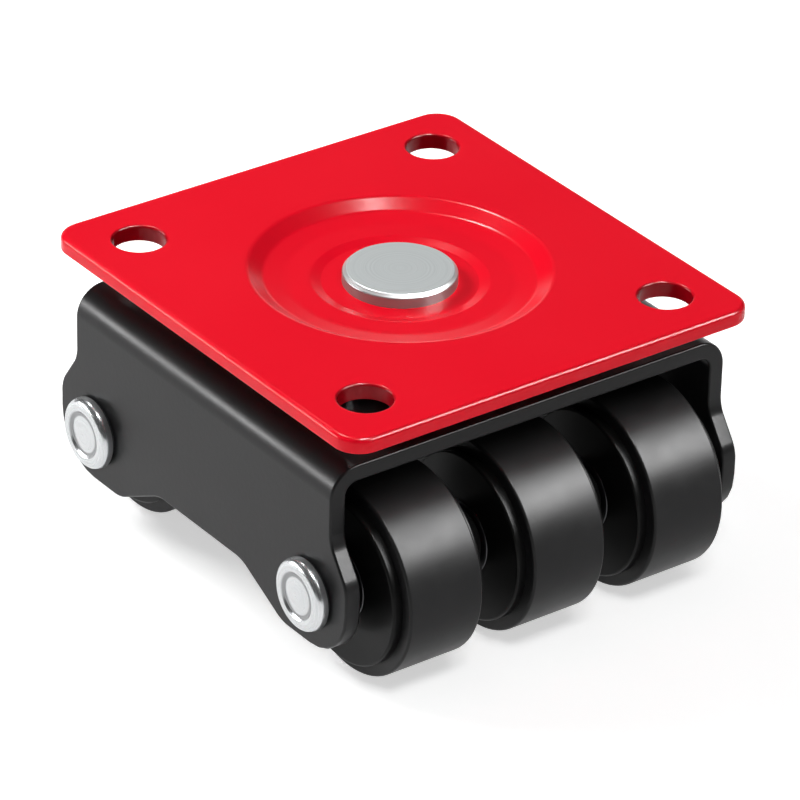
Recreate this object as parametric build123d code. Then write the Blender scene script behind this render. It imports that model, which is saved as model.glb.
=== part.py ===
# Low six-wheel swivel caster with a stamped top plate.
# Millimetres. +Z is up, X runs along the axles and Y along the rolling direction.
# The origin is the centre of the plate's flat top face, on the swivel axis.

import os
from math import cos, pi, radians, sin, tan

from build123d import *

# Top plate, pressed from one sheet
PLATE_WIDTH = 95.0
PLATE_LENGTH = 100.0
PLATE_SHEET = 3.2
PLATE_CORNER_R = 5.5
PLATE_TOP_EDGE_R = 1.0
PLATE_BOTTOM_EDGE_R = 0.4
BOLT_HOLE_R = 5.25
BOLT_SPACING_X = 70.5
BOLT_SPACING_Y = 74.5
BOLT_HOLE_EDGE_R = 0.5

# Dish in the plate: a sloping wall, a floor and a lower seat round the kingpin
DISH_RIM_R = 28.4
DISH_DEPTH = 2.4
DISH_WALL_ANGLE = 45.0
DISH_RIM_BEND_R = 6.0
DISH_FLOOR_BEND_R = 1.2
SEAT_RIM_R = 17.4
SEAT_STEP = 0.6
SEAT_SLOPE_RUN = 2.2
SEAT_INNER_BEND_R = 1.2
SEAT_OUTER_BEND_R = 2.0

# Kingpin: a rivet with a flat turned head above and a formed head below
KINGPIN_R = 6.0
KINGPIN_HEAD_R = 11.2
KINGPIN_HEAD_BELOW_TOP = 0.25
KINGPIN_HEAD_CHAMFER = 0.7
KINGPIN_CHAMFER_BEND_R = 0.4
KINGPIN_FOOT_R = 9.5
KINGPIN_FOOT_H = 2.8
KINGPIN_FOOT_EDGE_R = 1.4

# Ball races
UPPER_BALL_R = 3.572
LOWER_BALL_R = 2.5
LOWER_RACE_R = 14.6
RACE_GROOVE_DEPTH = 0.35
BALL_GAP_ROOM = 0.3
RACE_CLEARANCE = 0.02

# Sleeve on the kingpin and the pressed cup under the frame
SLEEVE_R = 9.0
SLEEVE_TO_FRAME = 0.6
CUP_SHEET = 2.0
CUP_R = 20.0
CUP_BEND_R = 2.6
CUP_TO_FRAME = 0.7

# Frame, one bent sheet
FRAME_WIDTH = 93.0
FRAME_SHEET = 3.5
FRAME_BEND_R = 6.0
FRAME_HALF_LENGTH = 42.5
FRAME_WALL_STRAIGHT = 15.0
FRAME_EDGE_R = 0.5
EAR_REACH = 11.9
EAR_DROP = 11.0
EAR_RISE = 6.0
EAR_CORNER_R = 11.5
EAR_SHOULDER_R = 6.0
ARCH_HALF_LENGTH = 14.0
ARCH_FOOT_RUN = 13.5
ARCH_RISE = 6.9
ARCH_BEND_R = 7.0

# Axles, riveted at both ends
AXLE_R = 4.0
AXLE_SPACING = 72.0
AXLE_DROP = 38.7
AXLE_HEAD_R = 7.25
AXLE_HEAD_H = 2.9
AXLE_HEAD_EDGE_R = 0.9
AXLE_HEAD_RING_R = 4.9
AXLE_HEAD_RING_W = 0.5
AXLE_HEAD_RING_D = 0.45
AXLE_HEAD_RING_BEND_R = 0.2
AXLE_HEAD_DISH_D = 0.25

# Wheels, three on each axle, which share the room between the frame's walls
WHEELS_ON_AXLE = 3
WHEEL_R = 19.6
TREAD_EDGE_R = 1.1
TREAD_THICKNESS = 3.8
CORE_DISC_R = 17.0
CORE_DISC_THICKNESS = 2.05
CORE_EDGE_R = 0.9
BUSH_R = 7.5
BUSH_PROUD = 0.2
BUSH_EDGE_R = 0.3
SPACER_R = 6.2
SPACER_LENGTH = 7.4
WASHER_R = 7.0
WASHER_LENGTH = 3.5
COLLAR_EDGE_R = 0.3
STATIC_CLEARANCE = 0.02
RUNNING_CLEARANCE = 0.05
END_FLOAT = 0.1

# Heights and radii worked out from the sizes above
DISH_FLOOR_Z = -DISH_DEPTH
SEAT_Z = DISH_FLOOR_Z - SEAT_STEP
PLATE_BOTTOM_Z = -PLATE_SHEET
SEAT_BOTTOM_Z = SEAT_Z - PLATE_SHEET
SHEET_SHIFT = PLATE_SHEET * tan(radians(DISH_WALL_ANGLE / 2))
DISH_WALL_RUN = DISH_DEPTH / tan(radians(DISH_WALL_ANGLE))
UPPER_BALL_REACH = UPPER_BALL_R + RACE_CLEARANCE
UPPER_BALL_Z = PLATE_BOTTOM_Z - UPPER_BALL_REACH
UPPER_RACE_R = DISH_RIM_R + SHEET_SHIFT + UPPER_BALL_REACH * tan(radians(DISH_WALL_ANGLE / 2))
FRAME_TOP_Z = UPPER_BALL_Z - UPPER_BALL_REACH + RACE_GROOVE_DEPTH
FRAME_UNDER_Z = FRAME_TOP_Z - FRAME_SHEET
LOWER_BALL_REACH = LOWER_BALL_R + RACE_CLEARANCE
LOWER_BALL_Z = FRAME_UNDER_Z + RACE_GROOVE_DEPTH - LOWER_BALL_REACH
CUP_FLOOR_Z = LOWER_BALL_Z - LOWER_BALL_REACH + RACE_GROOVE_DEPTH
CUP_BOTTOM_Z = CUP_FLOOR_Z - CUP_SHEET
AXLE_Y = AXLE_SPACING / 2
FRAME_INNER_HALF = FRAME_WIDTH / 2 - FRAME_SHEET
COLLAR_ROOM = 2 * WASHER_LENGTH + (WHEELS_ON_AXLE - 1) * SPACER_LENGTH
BUSH_LENGTH = (2 * FRAME_INNER_HALF - COLLAR_ROOM) / WHEELS_ON_AXLE - 2 * END_FLOAT
CORE_WIDTH = BUSH_LENGTH - 2 * BUSH_PROUD
TREAD_WIDTH = CORE_WIDTH - 2 * CORE_DISC_THICKNESS
WHEEL_PITCH = BUSH_LENGTH + 2 * END_FLOAT + SPACER_LENGTH
WHEEL_STATIONS = {"left": -WHEEL_PITCH, "middle": 0.0, "right": WHEEL_PITCH}
AXLE_STATIONS = {"front": -AXLE_Y, "rear": AXLE_Y}


def outline(*corners):
    """Closed face through corners given as (across, up, bend radius)."""
    points = [(across, up) for across, up, _ in corners]
    radii = [radius for _, _, radius in corners]
    return make_face(FilletPolyline(*points, radius=radii, close=True))


def turned_on_z(*corners):
    """Solid of revolution about the swivel axis, from corners (radius, height, bend)."""
    return revolve(Plane.XZ * outline(*corners), axis=Axis.Z)


def turned_on_x(*corners):
    """Solid of revolution about X, from corners (distance along X, radius, bend)."""
    return revolve(outline(*corners), axis=Axis.X)


def groove_on_z(ring_r, height, ball_reach):
    """Ring-shaped raceway swept by a ball on the swivel axis."""
    return Pos(0, 0, height) * Torus(ring_r, ball_reach)


def ball_ring(ring_r, height, ball_r):
    """As many loose balls as the raceway holds, as separate solids."""
    count = int(2 * pi * ring_r / (2 * ball_r + BALL_GAP_ROOM))
    turn = 2 * pi / count
    places = [Pos(ring_r * cos(i * turn), ring_r * sin(i * turn), height) for i in range(count)]
    return Compound([place * Sphere(ball_r) for place in places])


def dish_section():
    """Section of the pressed dish, out to where the plate is flat again."""
    flat_r = DISH_RIM_R + SHEET_SHIFT + DISH_RIM_BEND_R
    bore_r = KINGPIN_R + STATIC_CLEARANCE
    floor_r = DISH_RIM_R - DISH_WALL_RUN
    seat_r = SEAT_RIM_R - SEAT_SLOPE_RUN
    return outline(
        (bore_r, SEAT_Z, 0),
        (seat_r, SEAT_Z, SEAT_INNER_BEND_R),
        (SEAT_RIM_R, DISH_FLOOR_Z, SEAT_OUTER_BEND_R),
        (floor_r, DISH_FLOOR_Z, DISH_FLOOR_BEND_R),
        (DISH_RIM_R, 0, DISH_RIM_BEND_R),
        (flat_r, 0, 0),
        (flat_r, PLATE_BOTTOM_Z, 0),
        (DISH_RIM_R + SHEET_SHIFT, PLATE_BOTTOM_Z, DISH_RIM_BEND_R - PLATE_SHEET),
        (floor_r + SHEET_SHIFT, DISH_FLOOR_Z - PLATE_SHEET, DISH_FLOOR_BEND_R + PLATE_SHEET),
        (SEAT_RIM_R, DISH_FLOOR_Z - PLATE_SHEET, SEAT_INNER_BEND_R),
        (seat_r, SEAT_BOTTOM_Z, SEAT_OUTER_BEND_R),
        (bore_r, SEAT_BOTTOM_Z, 0),
    )


def top_plate():
    """Rectangular plate with rounded corners, four bolt holes and the pressed dish."""
    flat_r = DISH_RIM_R + SHEET_SHIFT + DISH_RIM_BEND_R
    blank = RectangleRounded(PLATE_WIDTH, PLATE_LENGTH, PLATE_CORNER_R)
    plate = extrude(blank, -PLATE_SHEET)
    plate = fillet(plate.faces().sort_by(Axis.Z)[-1].edges(), PLATE_TOP_EDGE_R)
    plate = fillet(plate.faces().sort_by(Axis.Z)[0].edges(), PLATE_BOTTOM_EDGE_R)
    plate -= Pos(0, 0, -PLATE_SHEET / 2) * Cylinder(flat_r, 2 * PLATE_SHEET)
    plate += revolve(Plane.XZ * dish_section(), axis=Axis.Z)
    drill = Pos(0, 0, -PLATE_SHEET / 2) * Cylinder(BOLT_HOLE_R, 2 * PLATE_SHEET)
    flare = turned_on_z(
        (0, BOLT_HOLE_EDGE_R, 0),
        (BOLT_HOLE_R + BOLT_HOLE_EDGE_R, BOLT_HOLE_EDGE_R, 0),
        (BOLT_HOLE_R + BOLT_HOLE_EDGE_R, 0, 0),
        (BOLT_HOLE_R, -BOLT_HOLE_EDGE_R, 0),
        (0, -BOLT_HOLE_EDGE_R, 0),
    )
    for place in GridLocations(BOLT_SPACING_X, BOLT_SPACING_Y, 2, 2):
        plate -= place * (drill + flare)
    return plate


def kingpin():
    """Rivet that holds plate, sleeve and cup together."""
    head_top = -KINGPIN_HEAD_BELOW_TOP
    foot_z = CUP_BOTTOM_Z - KINGPIN_FOOT_H
    return turned_on_z(
        (0, head_top, 0),
        (KINGPIN_HEAD_R - KINGPIN_HEAD_CHAMFER, head_top, KINGPIN_CHAMFER_BEND_R),
        (KINGPIN_HEAD_R, head_top - KINGPIN_HEAD_CHAMFER, KINGPIN_CHAMFER_BEND_R),
        (KINGPIN_HEAD_R, SEAT_Z, 0),
        (KINGPIN_R, SEAT_Z, 0),
        (KINGPIN_R, CUP_BOTTOM_Z, 0),
        (KINGPIN_FOOT_R, CUP_BOTTOM_Z, 0),
        (KINGPIN_FOOT_R, foot_z, KINGPIN_FOOT_EDGE_R),
        (0, foot_z, 0),
    )


def pivot_sleeve():
    """Tube on the kingpin, from the plate's seat down to the cup."""
    bore_r = KINGPIN_R + STATIC_CLEARANCE
    return turned_on_z(
        (bore_r, SEAT_BOTTOM_Z, 0),
        (SLEEVE_R, SEAT_BOTTOM_Z, 0),
        (SLEEVE_R, CUP_FLOOR_Z, 0),
        (bore_r, CUP_FLOOR_Z, 0),
    )


def lower_race_cup():
    """Pressed cup with a raceway in its floor and a rim that keeps the balls in."""
    bore_r = KINGPIN_R + STATIC_CLEARANCE
    rim_z = FRAME_UNDER_Z - CUP_TO_FRAME
    cup = turned_on_z(
        (bore_r, CUP_BOTTOM_Z, 0),
        (CUP_R, CUP_BOTTOM_Z, CUP_BEND_R),
        (CUP_R, rim_z, 0),
        (CUP_R - CUP_SHEET, rim_z, 0),
        (CUP_R - CUP_SHEET, CUP_FLOOR_Z, CUP_BEND_R - CUP_SHEET),
        (bore_r, CUP_FLOOR_Z, 0),
    )
    return cup - groove_on_z(LOWER_RACE_R, LOWER_BALL_Z, LOWER_BALL_REACH)


def frame_side():
    """Side view of the frame: straight ends, an ear round each axle, an arch between."""
    ear_y = AXLE_Y + EAR_REACH
    ear_z = -AXLE_DROP - EAR_DROP
    shoulder_z = FRAME_TOP_Z - FRAME_WALL_STRAIGHT
    arch_z = ear_z + ARCH_RISE
    half = [
        (FRAME_HALF_LENGTH, FRAME_TOP_Z, 0),
        (FRAME_HALF_LENGTH, shoulder_z, EAR_SHOULDER_R),
        (ear_y, -AXLE_DROP + EAR_RISE, EAR_SHOULDER_R),
        (ear_y, ear_z, EAR_CORNER_R),
        (ARCH_HALF_LENGTH + ARCH_FOOT_RUN, ear_z, ARCH_BEND_R),
        (ARCH_HALF_LENGTH, arch_z, ARCH_BEND_R),
    ]
    other_half = [(-y, z, bend) for y, z, bend in reversed(half)]
    return outline(*half, *other_half)


def frame():
    """Inverted U of bent sheet with its raceways, kingpin hole and axle holes."""
    outer = FRAME_WIDTH / 2
    foot_z = -AXLE_DROP - 2 * EAR_DROP
    bend = outline(
        (-outer, foot_z, 0),
        (-outer, FRAME_TOP_Z, FRAME_BEND_R),
        (outer, FRAME_TOP_Z, FRAME_BEND_R),
        (outer, foot_z, 0),
        (FRAME_INNER_HALF, foot_z, 0),
        (FRAME_INNER_HALF, FRAME_UNDER_Z, FRAME_BEND_R - FRAME_SHEET),
        (-FRAME_INNER_HALF, FRAME_UNDER_Z, FRAME_BEND_R - FRAME_SHEET),
        (-FRAME_INNER_HALF, foot_z, 0),
    )
    channel = extrude(Plane.XZ * bend, AXLE_SPACING, both=True)
    body = channel & extrude(Plane.YZ * frame_side(), FRAME_WIDTH, both=True)
    body = fillet(frame_rim_edges(body), FRAME_EDGE_R)
    body -= groove_on_z(UPPER_RACE_R, UPPER_BALL_Z, UPPER_BALL_REACH)
    body -= groove_on_z(LOWER_RACE_R, LOWER_BALL_Z, LOWER_BALL_REACH)
    body -= Pos(0, 0, FRAME_TOP_Z) * Cylinder(SLEEVE_R + SLEEVE_TO_FRAME, 3 * FRAME_SHEET)
    axle_hole = Rot(0, 90, 0) * Cylinder(AXLE_R + STATIC_CLEARANCE, 2 * FRAME_WIDTH)
    for axle_y in AXLE_STATIONS.values():
        body -= Pos(0, axle_y, -AXLE_DROP) * axle_hole
    return body


def frame_rim_edges(body):
    """Edges round the sheet's cut outline, left and right of its thickness."""
    cut_faces = [
        face for face in body.faces()
        if abs(face.normal_at().X) < 0.01 and not is_sheet_face(face)
    ]
    edges = []
    for face in cut_faces:
        edges += [edge for edge in face.edges() if not lies_across_sheet(edge)]
    return edges


def is_sheet_face(face):
    """True for the crown's broad top and bottom faces."""
    return abs(face.normal_at().Z) > 0.99 and face.area > FRAME_WIDTH * FRAME_HALF_LENGTH


def lies_across_sheet(edge):
    """True for a short edge that only spans the sheet's thickness."""
    return abs(edge.length - FRAME_SHEET) < 0.01 and abs(edge.tangent_at().X) > 0.99


def axle():
    """Riveted axle: a plain shank and two heads with a ring and a shallow dish."""
    wall = FRAME_WIDTH / 2
    tip = wall + AXLE_HEAD_H
    shank = Rot(0, 90, 0) * Cylinder(AXLE_R, FRAME_WIDTH)
    ring_out = AXLE_HEAD_RING_R + AXLE_HEAD_RING_W
    head = turned_on_x(
        (wall, 0, 0),
        (wall, AXLE_HEAD_R, 0),
        (tip, AXLE_HEAD_R, AXLE_HEAD_EDGE_R),
        (tip, ring_out, AXLE_HEAD_RING_BEND_R),
        (tip - AXLE_HEAD_RING_D, AXLE_HEAD_RING_R, AXLE_HEAD_RING_BEND_R),
        (tip - AXLE_HEAD_DISH_D, 0, 0),
    )
    return shank + head + mirror(head, Plane.YZ)


def tyre():
    """Tread ring with rounded edges."""
    half = TREAD_WIDTH / 2
    bore_r = WHEEL_R - TREAD_THICKNESS
    return turned_on_x(
        (-half, bore_r, 0),
        (-half, WHEEL_R, TREAD_EDGE_R),
        (half, WHEEL_R, TREAD_EDGE_R),
        (half, bore_r, 0),
    )


def core():
    """Moulded wheel core with a disc on each side that locks the tread in."""
    half = CORE_WIDTH / 2
    tread_half = TREAD_WIDTH / 2 + STATIC_CLEARANCE
    seat_r = WHEEL_R - TREAD_THICKNESS - STATIC_CLEARANCE
    bore_r = BUSH_R + STATIC_CLEARANCE
    return turned_on_x(
        (-half, bore_r, 0),
        (-half, CORE_DISC_R, CORE_EDGE_R),
        (-tread_half, CORE_DISC_R, 0),
        (-tread_half, seat_r, 0),
        (tread_half, seat_r, 0),
        (tread_half, CORE_DISC_R, 0),
        (half, CORE_DISC_R, CORE_EDGE_R),
        (half, bore_r, 0),
    )


def bush():
    """Plain bearing pressed into the core, a little proud of it at both ends."""
    half = BUSH_LENGTH / 2
    bore_r = AXLE_R + RUNNING_CLEARANCE
    return turned_on_x(
        (-half, bore_r, 0),
        (-half, BUSH_R, BUSH_EDGE_R),
        (half, BUSH_R, BUSH_EDGE_R),
        (half, bore_r, 0),
    )


def collar(start_x, end_x, outer_r):
    """Tube on the axle between two stations along X."""
    bore_r = AXLE_R + STATIC_CLEARANCE
    return turned_on_x(
        (start_x, bore_r, 0),
        (start_x, outer_r, COLLAR_EDGE_R),
        (end_x, outer_r, COLLAR_EDGE_R),
        (end_x, bore_r, 0),
    )


def wheel_spacers():
    """The two tubes between the three wheels of an axle."""
    start = BUSH_LENGTH / 2 + END_FLOAT
    spacer = collar(start, start + SPACER_LENGTH, SPACER_R)
    return Compound([spacer, mirror(spacer, Plane.YZ)])


def end_washers():
    """The two thick washers between the outer wheels and the frame's walls."""
    start = WHEEL_PITCH + BUSH_LENGTH / 2 + END_FLOAT
    washer = collar(start, FRAME_INNER_HALF, WASHER_R)
    return Compound([washer, mirror(washer, Plane.YZ)])


def build():
    """Every sub-part at its place, by node name."""
    nodes = {
        "top_plate": top_plate(),
        "kingpin": kingpin(),
        "pivot_sleeve": pivot_sleeve(),
        "lower_race_cup": lower_race_cup(),
        "upper_balls": ball_ring(UPPER_RACE_R, UPPER_BALL_Z, UPPER_BALL_R),
        "lower_balls": ball_ring(LOWER_RACE_R, LOWER_BALL_Z, LOWER_BALL_R),
        "frame": frame(),
    }
    for end, axle_y in AXLE_STATIONS.items():
        on_axle = Pos(0, axle_y, -AXLE_DROP)
        nodes[f"{end}_axle"] = on_axle * axle()
        nodes[f"{end}_wheel_spacers"] = on_axle * wheel_spacers()
        nodes[f"{end}_end_washers"] = on_axle * end_washers()
        for side, wheel_x in WHEEL_STATIONS.items():
            on_wheel = Pos(wheel_x, axle_y, -AXLE_DROP)
            nodes[f"{end}_{side}_tyre"] = on_wheel * tyre()
            nodes[f"{end}_{side}_core"] = on_wheel * core()
            nodes[f"{end}_{side}_bush"] = on_wheel * bush()
    return nodes


os.makedirs("parts", exist_ok=True)
for name, shape in build().items():
    export_step(shape, f"parts/{name}.step")
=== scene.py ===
from math import cos, pi, radians, sin, tan

import bmesh
import bpy
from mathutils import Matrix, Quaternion, Vector


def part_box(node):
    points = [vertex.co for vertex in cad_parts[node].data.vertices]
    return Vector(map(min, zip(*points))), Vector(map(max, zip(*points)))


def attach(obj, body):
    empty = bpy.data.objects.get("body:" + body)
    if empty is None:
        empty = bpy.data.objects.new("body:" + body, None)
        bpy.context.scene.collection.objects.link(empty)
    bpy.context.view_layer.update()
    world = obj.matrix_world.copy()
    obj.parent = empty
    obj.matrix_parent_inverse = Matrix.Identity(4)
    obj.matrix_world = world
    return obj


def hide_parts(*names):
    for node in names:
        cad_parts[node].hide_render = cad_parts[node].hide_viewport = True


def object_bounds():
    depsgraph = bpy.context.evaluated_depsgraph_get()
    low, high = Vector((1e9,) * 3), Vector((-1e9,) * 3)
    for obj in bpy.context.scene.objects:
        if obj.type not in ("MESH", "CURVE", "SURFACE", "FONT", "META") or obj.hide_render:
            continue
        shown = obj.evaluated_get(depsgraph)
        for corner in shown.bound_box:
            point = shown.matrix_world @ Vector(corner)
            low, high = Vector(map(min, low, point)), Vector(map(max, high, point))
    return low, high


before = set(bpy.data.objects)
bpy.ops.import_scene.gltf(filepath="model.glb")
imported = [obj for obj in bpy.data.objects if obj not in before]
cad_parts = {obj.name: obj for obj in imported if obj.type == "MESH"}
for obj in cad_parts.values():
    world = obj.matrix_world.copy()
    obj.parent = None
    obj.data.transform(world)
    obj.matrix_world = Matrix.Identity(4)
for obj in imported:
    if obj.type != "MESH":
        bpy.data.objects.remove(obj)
cad_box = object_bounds()

MM = 0.001

# Camera, as the photograph was taken
VIEW_TURN = radians(-37.001)
VIEW_HEIGHT = radians(29.811)
VIEW_TILT = radians(1.550)
VIEW_DISTANCE = 1.0525
VIEW_AIM = Vector((-0.00716, -0.01056, -0.02213))
VIEW_LENS = 247.0

# Stamped plate
PLATE_SHEET = 3.2 * MM
PLATE_CORNER_R = 5.5 * MM
PLATE_TOP_EDGE_R = 1.0 * MM
PLATE_BOTTOM_EDGE_R = 0.4 * MM
BOLT_HOLE_R = 5.25 * MM
BOLT_HOLE_EDGE_R = 0.5 * MM
FLARE_SHALLOW = 0.13
FLARE_STEEP = 0.5
BOLT_X = 35.25 * MM
BOLT_Y = 37.25 * MM

# Pressed dish: its race side, its visible side, and the kingpin's seat in its floor
DISH_DEPTH = 2.4 * MM
DISH_WALL_ANGLE = radians(45)
DISH_RIM_R = 28.4 * MM
DISH_RIM_BEND_R = 6.0 * MM
DISH_FLOOR_BEND_R = 1.2 * MM
DISH_EDGE_R = 29.5 * MM
DISH_EDGE_BEND_R = 1.8 * MM
DISH_FOOT_R = 26.4 * MM
DISH_FOOT_LIFT = 0.55 * MM
DISH_FOOT_BEND_R = 2.0 * MM
DISH_FLAT_R = 22.2 * MM
DISH_FLAT_BEND_R = 12.0 * MM
SEAT_RIM_R = 17.4 * MM
SEAT_STEP = 0.6 * MM
SEAT_SLOPE_RUN = 2.2 * MM
SEAT_INNER_BEND_R = 1.2 * MM
SEAT_OUTER_BEND_R = 2.0 * MM

# Kingpin
KINGPIN_R = 6.0 * MM
KINGPIN_HEAD_R = 11.2 * MM
KINGPIN_HEAD_CHAMFER = 0.7 * MM
KINGPIN_BEND_R = 0.35 * MM
KINGPIN_FOOT_R = 9.5 * MM
KINGPIN_FOOT_H = 2.8 * MM
KINGPIN_FOOT_EDGE_R = 1.4 * MM
KINGPIN_FIT = 0.02 * MM

# Bent frame
FRAME_SHEET = 3.5 * MM
FRAME_BEND_R = 6.0 * MM
FRAME_HALF_LENGTH = 42.5 * MM
FRAME_WALL_STRAIGHT = 15.0 * MM
FRAME_EDGE_R = 0.5 * MM
FRAME_HOLE_R = 9.6 * MM
EAR_RISE = 6.0 * MM
EAR_CORNER_R = 11.5 * MM
EAR_SHOULDER_R = 6.0 * MM
ARCH_HALF_LENGTH = 14.0 * MM
ARCH_FOOT_RUN = 13.5 * MM
ARCH_RISE = 6.9 * MM
ARCH_BEND_R = 7.0 * MM

# Race parts under the plate
CUP_SHEET = 2.0 * MM
CUP_BEND_R = 2.6 * MM
CUP_LIP_R = CUP_SHEET / 3
UPPER_BALLS = 26
LOWER_BALLS = 17

# Axles and their riveted heads
AXLE_R = 4.0 * MM
AXLE_BORE_R = 4.02 * MM
HEAD_H = 2.9 * MM
HEAD_EDGE_R = 1.4 * MM
HEAD_UNDERCUT = 0.5 * MM
HEAD_UNDERCUT_BEND_R = 0.5 * MM
HEAD_RING_R = 4.3 * MM
HEAD_RING_W = 0.7 * MM
HEAD_RING_D = 0.5 * MM
HEAD_RING_BEND_R = 0.5 * MM
HEAD_DOME_D = 0.05 * MM
HEAD_DOME_R = 2.4 * MM
HEAD_DOME_BEND_R = 8.0 * MM

# Wheels and the collars between them
TREAD_THICKNESS = 3.8 * MM
TREAD_EDGE_R = 0.55 * MM
CORE_EDGE_R = 0.55 * MM
BUSH_EDGE_R = 0.3 * MM
BUSH_BORE_R = 4.05 * MM
COLLAR_BORE_R = 4.02 * MM
COLLAR_EDGE_R = 0.3 * MM
SLIP_FIT = 0.02 * MM
END_FLOAT = 0.1 * MM

# How fine the round shapes are
BEND_STEPS = 6
CORNER_STEPS = 16
SHEET_BEND_STEPS = 12
FINE_EDGE_STEPS = 3
BALL_STEPS = 4
WHEEL_STEPS = 160
DISH_STEPS = 192
SMALL_STEPS = 96

# What counts as smooth, sharp, square on, sideways or near
SMOOTH_ANGLE = radians(38)
FLAT_WEIGHT = 60
CUT_EDGE_ANGLE = radians(55)
SQUARE_ON = 0.9
SIDEWAYS = 0.1
SAME_PLACE = 0.001 * MM
NEAR = 0.01 * MM
OPENING_SLACK = 0.1 * MM
CUT_ROOM = 10 * MM

# Levels of the finishes, and of the shade painted into the bolt holes, the head grooves and the
# kingpin's skirt
HOLE_PAINTED_SHADE = 0.35
GROOVE_PAINTED_SHADE = 0.45
SKIRT_PAINTED_SHADE = 0.5
MOULD_TONE = (0.92, 1.08)
NOISE_RANGE = (0.3, 0.7)

# Studio: floor, backdrop (how far to the sides and up it fades) and lamps
FLOOR_SIZE = 8
FLOOR_GREY = (0.9, 0.9, 0.9, 1)
WHITE = (1, 1, 1, 1)
FLOOR_LIFT = 0.56
BACKDROP_SIDES = (0.45, 0.70)
BACKDROP_TOP = (0.15, 0.38)
STUDIO_DIM = 0.12
STUDIO_DARK = 0.02
AMBIENT = 0.20
LAMP_DISTANCE = 0.9

ENDS = ("front", "rear")
SIDES = ("left", "middle", "right")


# Workshop: short steps that every piece is modelled with

def leave_edit():
    """Back to object mode with nothing selected."""
    if bpy.context.object and bpy.context.object.mode != "OBJECT":
        bpy.ops.object.mode_set(mode="OBJECT")
    bpy.ops.object.select_all(action="DESELECT")


def take(piece):
    """Makes this piece the only one selected, and the active one."""
    leave_edit()
    piece.select_set(True)
    bpy.context.view_layer.objects.active = piece


def edit(piece):
    """Opens this piece alone in edit mode."""
    take(piece)
    bpy.ops.object.mode_set(mode="EDIT")


def pick(piece, kind, wanted):
    """In edit mode, selects the vertices, edges or faces that wanted() is true for."""
    bpy.ops.mesh.select_mode(type=kind)
    bpy.ops.mesh.select_all(action="DESELECT")
    mesh = bmesh.from_edit_mesh(piece.data)
    for part in {"VERT": mesh.verts, "EDGE": mesh.edges, "FACE": mesh.faces}[kind]:
        if wanted(part):
            part.select_set(True)
    bmesh.update_edit_mesh(piece.data)


def merge_doubles():
    """Merges vertices in one place over the whole piece and points its faces outwards."""
    bpy.ops.mesh.select_all(action="SELECT")
    bpy.ops.mesh.remove_doubles(threshold=SAME_PLACE)
    bpy.ops.mesh.normals_make_consistent(inside=False)


def draw_line(name, corners, closed=False):
    """Piece in edit mode that is one drawn line: corners are (point, bend radius)."""
    leave_edit()
    bpy.ops.mesh.primitive_plane_add(size=MM)
    piece = bpy.context.object
    piece.name = name
    points = [Vector(point) for point, _ in corners]
    bpy.ops.object.mode_set(mode="EDIT")
    bpy.ops.mesh.select_mode(type="VERT")
    bpy.ops.mesh.select_all(action="SELECT")
    bpy.ops.mesh.merge(type="CENTER")
    bpy.ops.transform.translate(value=points[0])
    path = points[1:] + points[:1] if closed else points[1:]
    here = points[0]
    for point in path:
        bpy.ops.mesh.extrude_region_move(TRANSFORM_OT_translate={"value": point - here})
        here = point
    if closed:
        bpy.ops.mesh.select_all(action="SELECT")
        bpy.ops.mesh.remove_doubles(threshold=SAME_PLACE)
    for index, (_, bend) in enumerate(corners):
        if bend:
            round_corner(piece, points, index, bend)
    return piece


def round_corner(piece, points, index, bend):
    """Rounds one corner of a drawn line to the bend radius."""
    corner = points[index]
    coming = corner - points[index - 1]
    going = points[(index + 1) % len(points)] - corner
    turn = coming.angle(going)
    pick(piece, "VERT", lambda vertex: (vertex.co - corner).length < SAME_PLACE)
    bpy.ops.mesh.bevel(
        affect="VERTICES", offset=bend * tan(turn / 2), segments=BEND_STEPS, profile=0.5,
        clamp_overlap=False,
    )


def turn_on(name, axis, centre, corners, steps, closed=False):
    """Lathe work: corners are (along the axis, out from it, bend radius) from the centre."""
    centre = Vector(centre)
    along = Vector((0, 0, 1)) if axis == "Z" else Vector((1, 0, 0))
    out = Vector((1, 0, 0)) if axis == "Z" else Vector((0, 0, 1))
    line = [(centre + along * way + out * radius, bend) for way, radius, bend in corners]
    piece = draw_line(name, line, closed)
    bpy.ops.mesh.select_mode(type="VERT")
    bpy.ops.mesh.select_all(action="SELECT")
    bpy.ops.mesh.spin(steps=steps, angle=2 * pi, center=centre, axis=along)
    merge_doubles()
    leave_edit()
    return piece


def drill(name, axis, centre, radius, start, stop, steps=SMALL_STEPS):
    """Straight round tool solid along an axis, from start to stop."""
    line = [(start, 0, 0), (start, radius, 0), (stop, radius, 0), (stop, 0, 0)]
    return turn_on(name, axis, centre, line, steps)


def both_ends(corners):
    """A lathe line with its mirror image added, from the left end to the right end."""
    return corners + [(-way, radius, bend) for way, radius, bend in reversed(corners)]


def block(name, low, high):
    """A box-shaped blank between two corners, with its size and place in its mesh."""
    leave_edit()
    low, high = Vector(low), Vector(high)
    bpy.ops.mesh.primitive_cube_add(size=1, location=(low + high) / 2)
    piece = bpy.context.object
    piece.name = name
    piece.scale = high - low
    bpy.ops.object.transform_apply(location=True, rotation=True, scale=True)
    return piece


def apply_modifier(piece, kind, **settings):
    """Adds one modifier with these settings and applies it."""
    take(piece)
    modifier = piece.modifiers.new(kind.title(), kind)
    for name, value in settings.items():
        setattr(modifier, name, value)
    bpy.ops.object.modifier_apply(modifier=modifier.name)


def cut_with(piece, tool, operation="DIFFERENCE"):
    """Cuts the piece with a tool solid, or keeps only what lies in both."""
    apply_modifier(piece, "BOOLEAN", object=tool, operation=operation, solver="EXACT")
    bpy.data.objects.remove(tool)


def add_to(piece, other):
    """Joins another mesh into the piece."""
    take(other)
    piece.select_set(True)
    bpy.context.view_layer.objects.active = piece
    bpy.ops.object.join()


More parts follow.
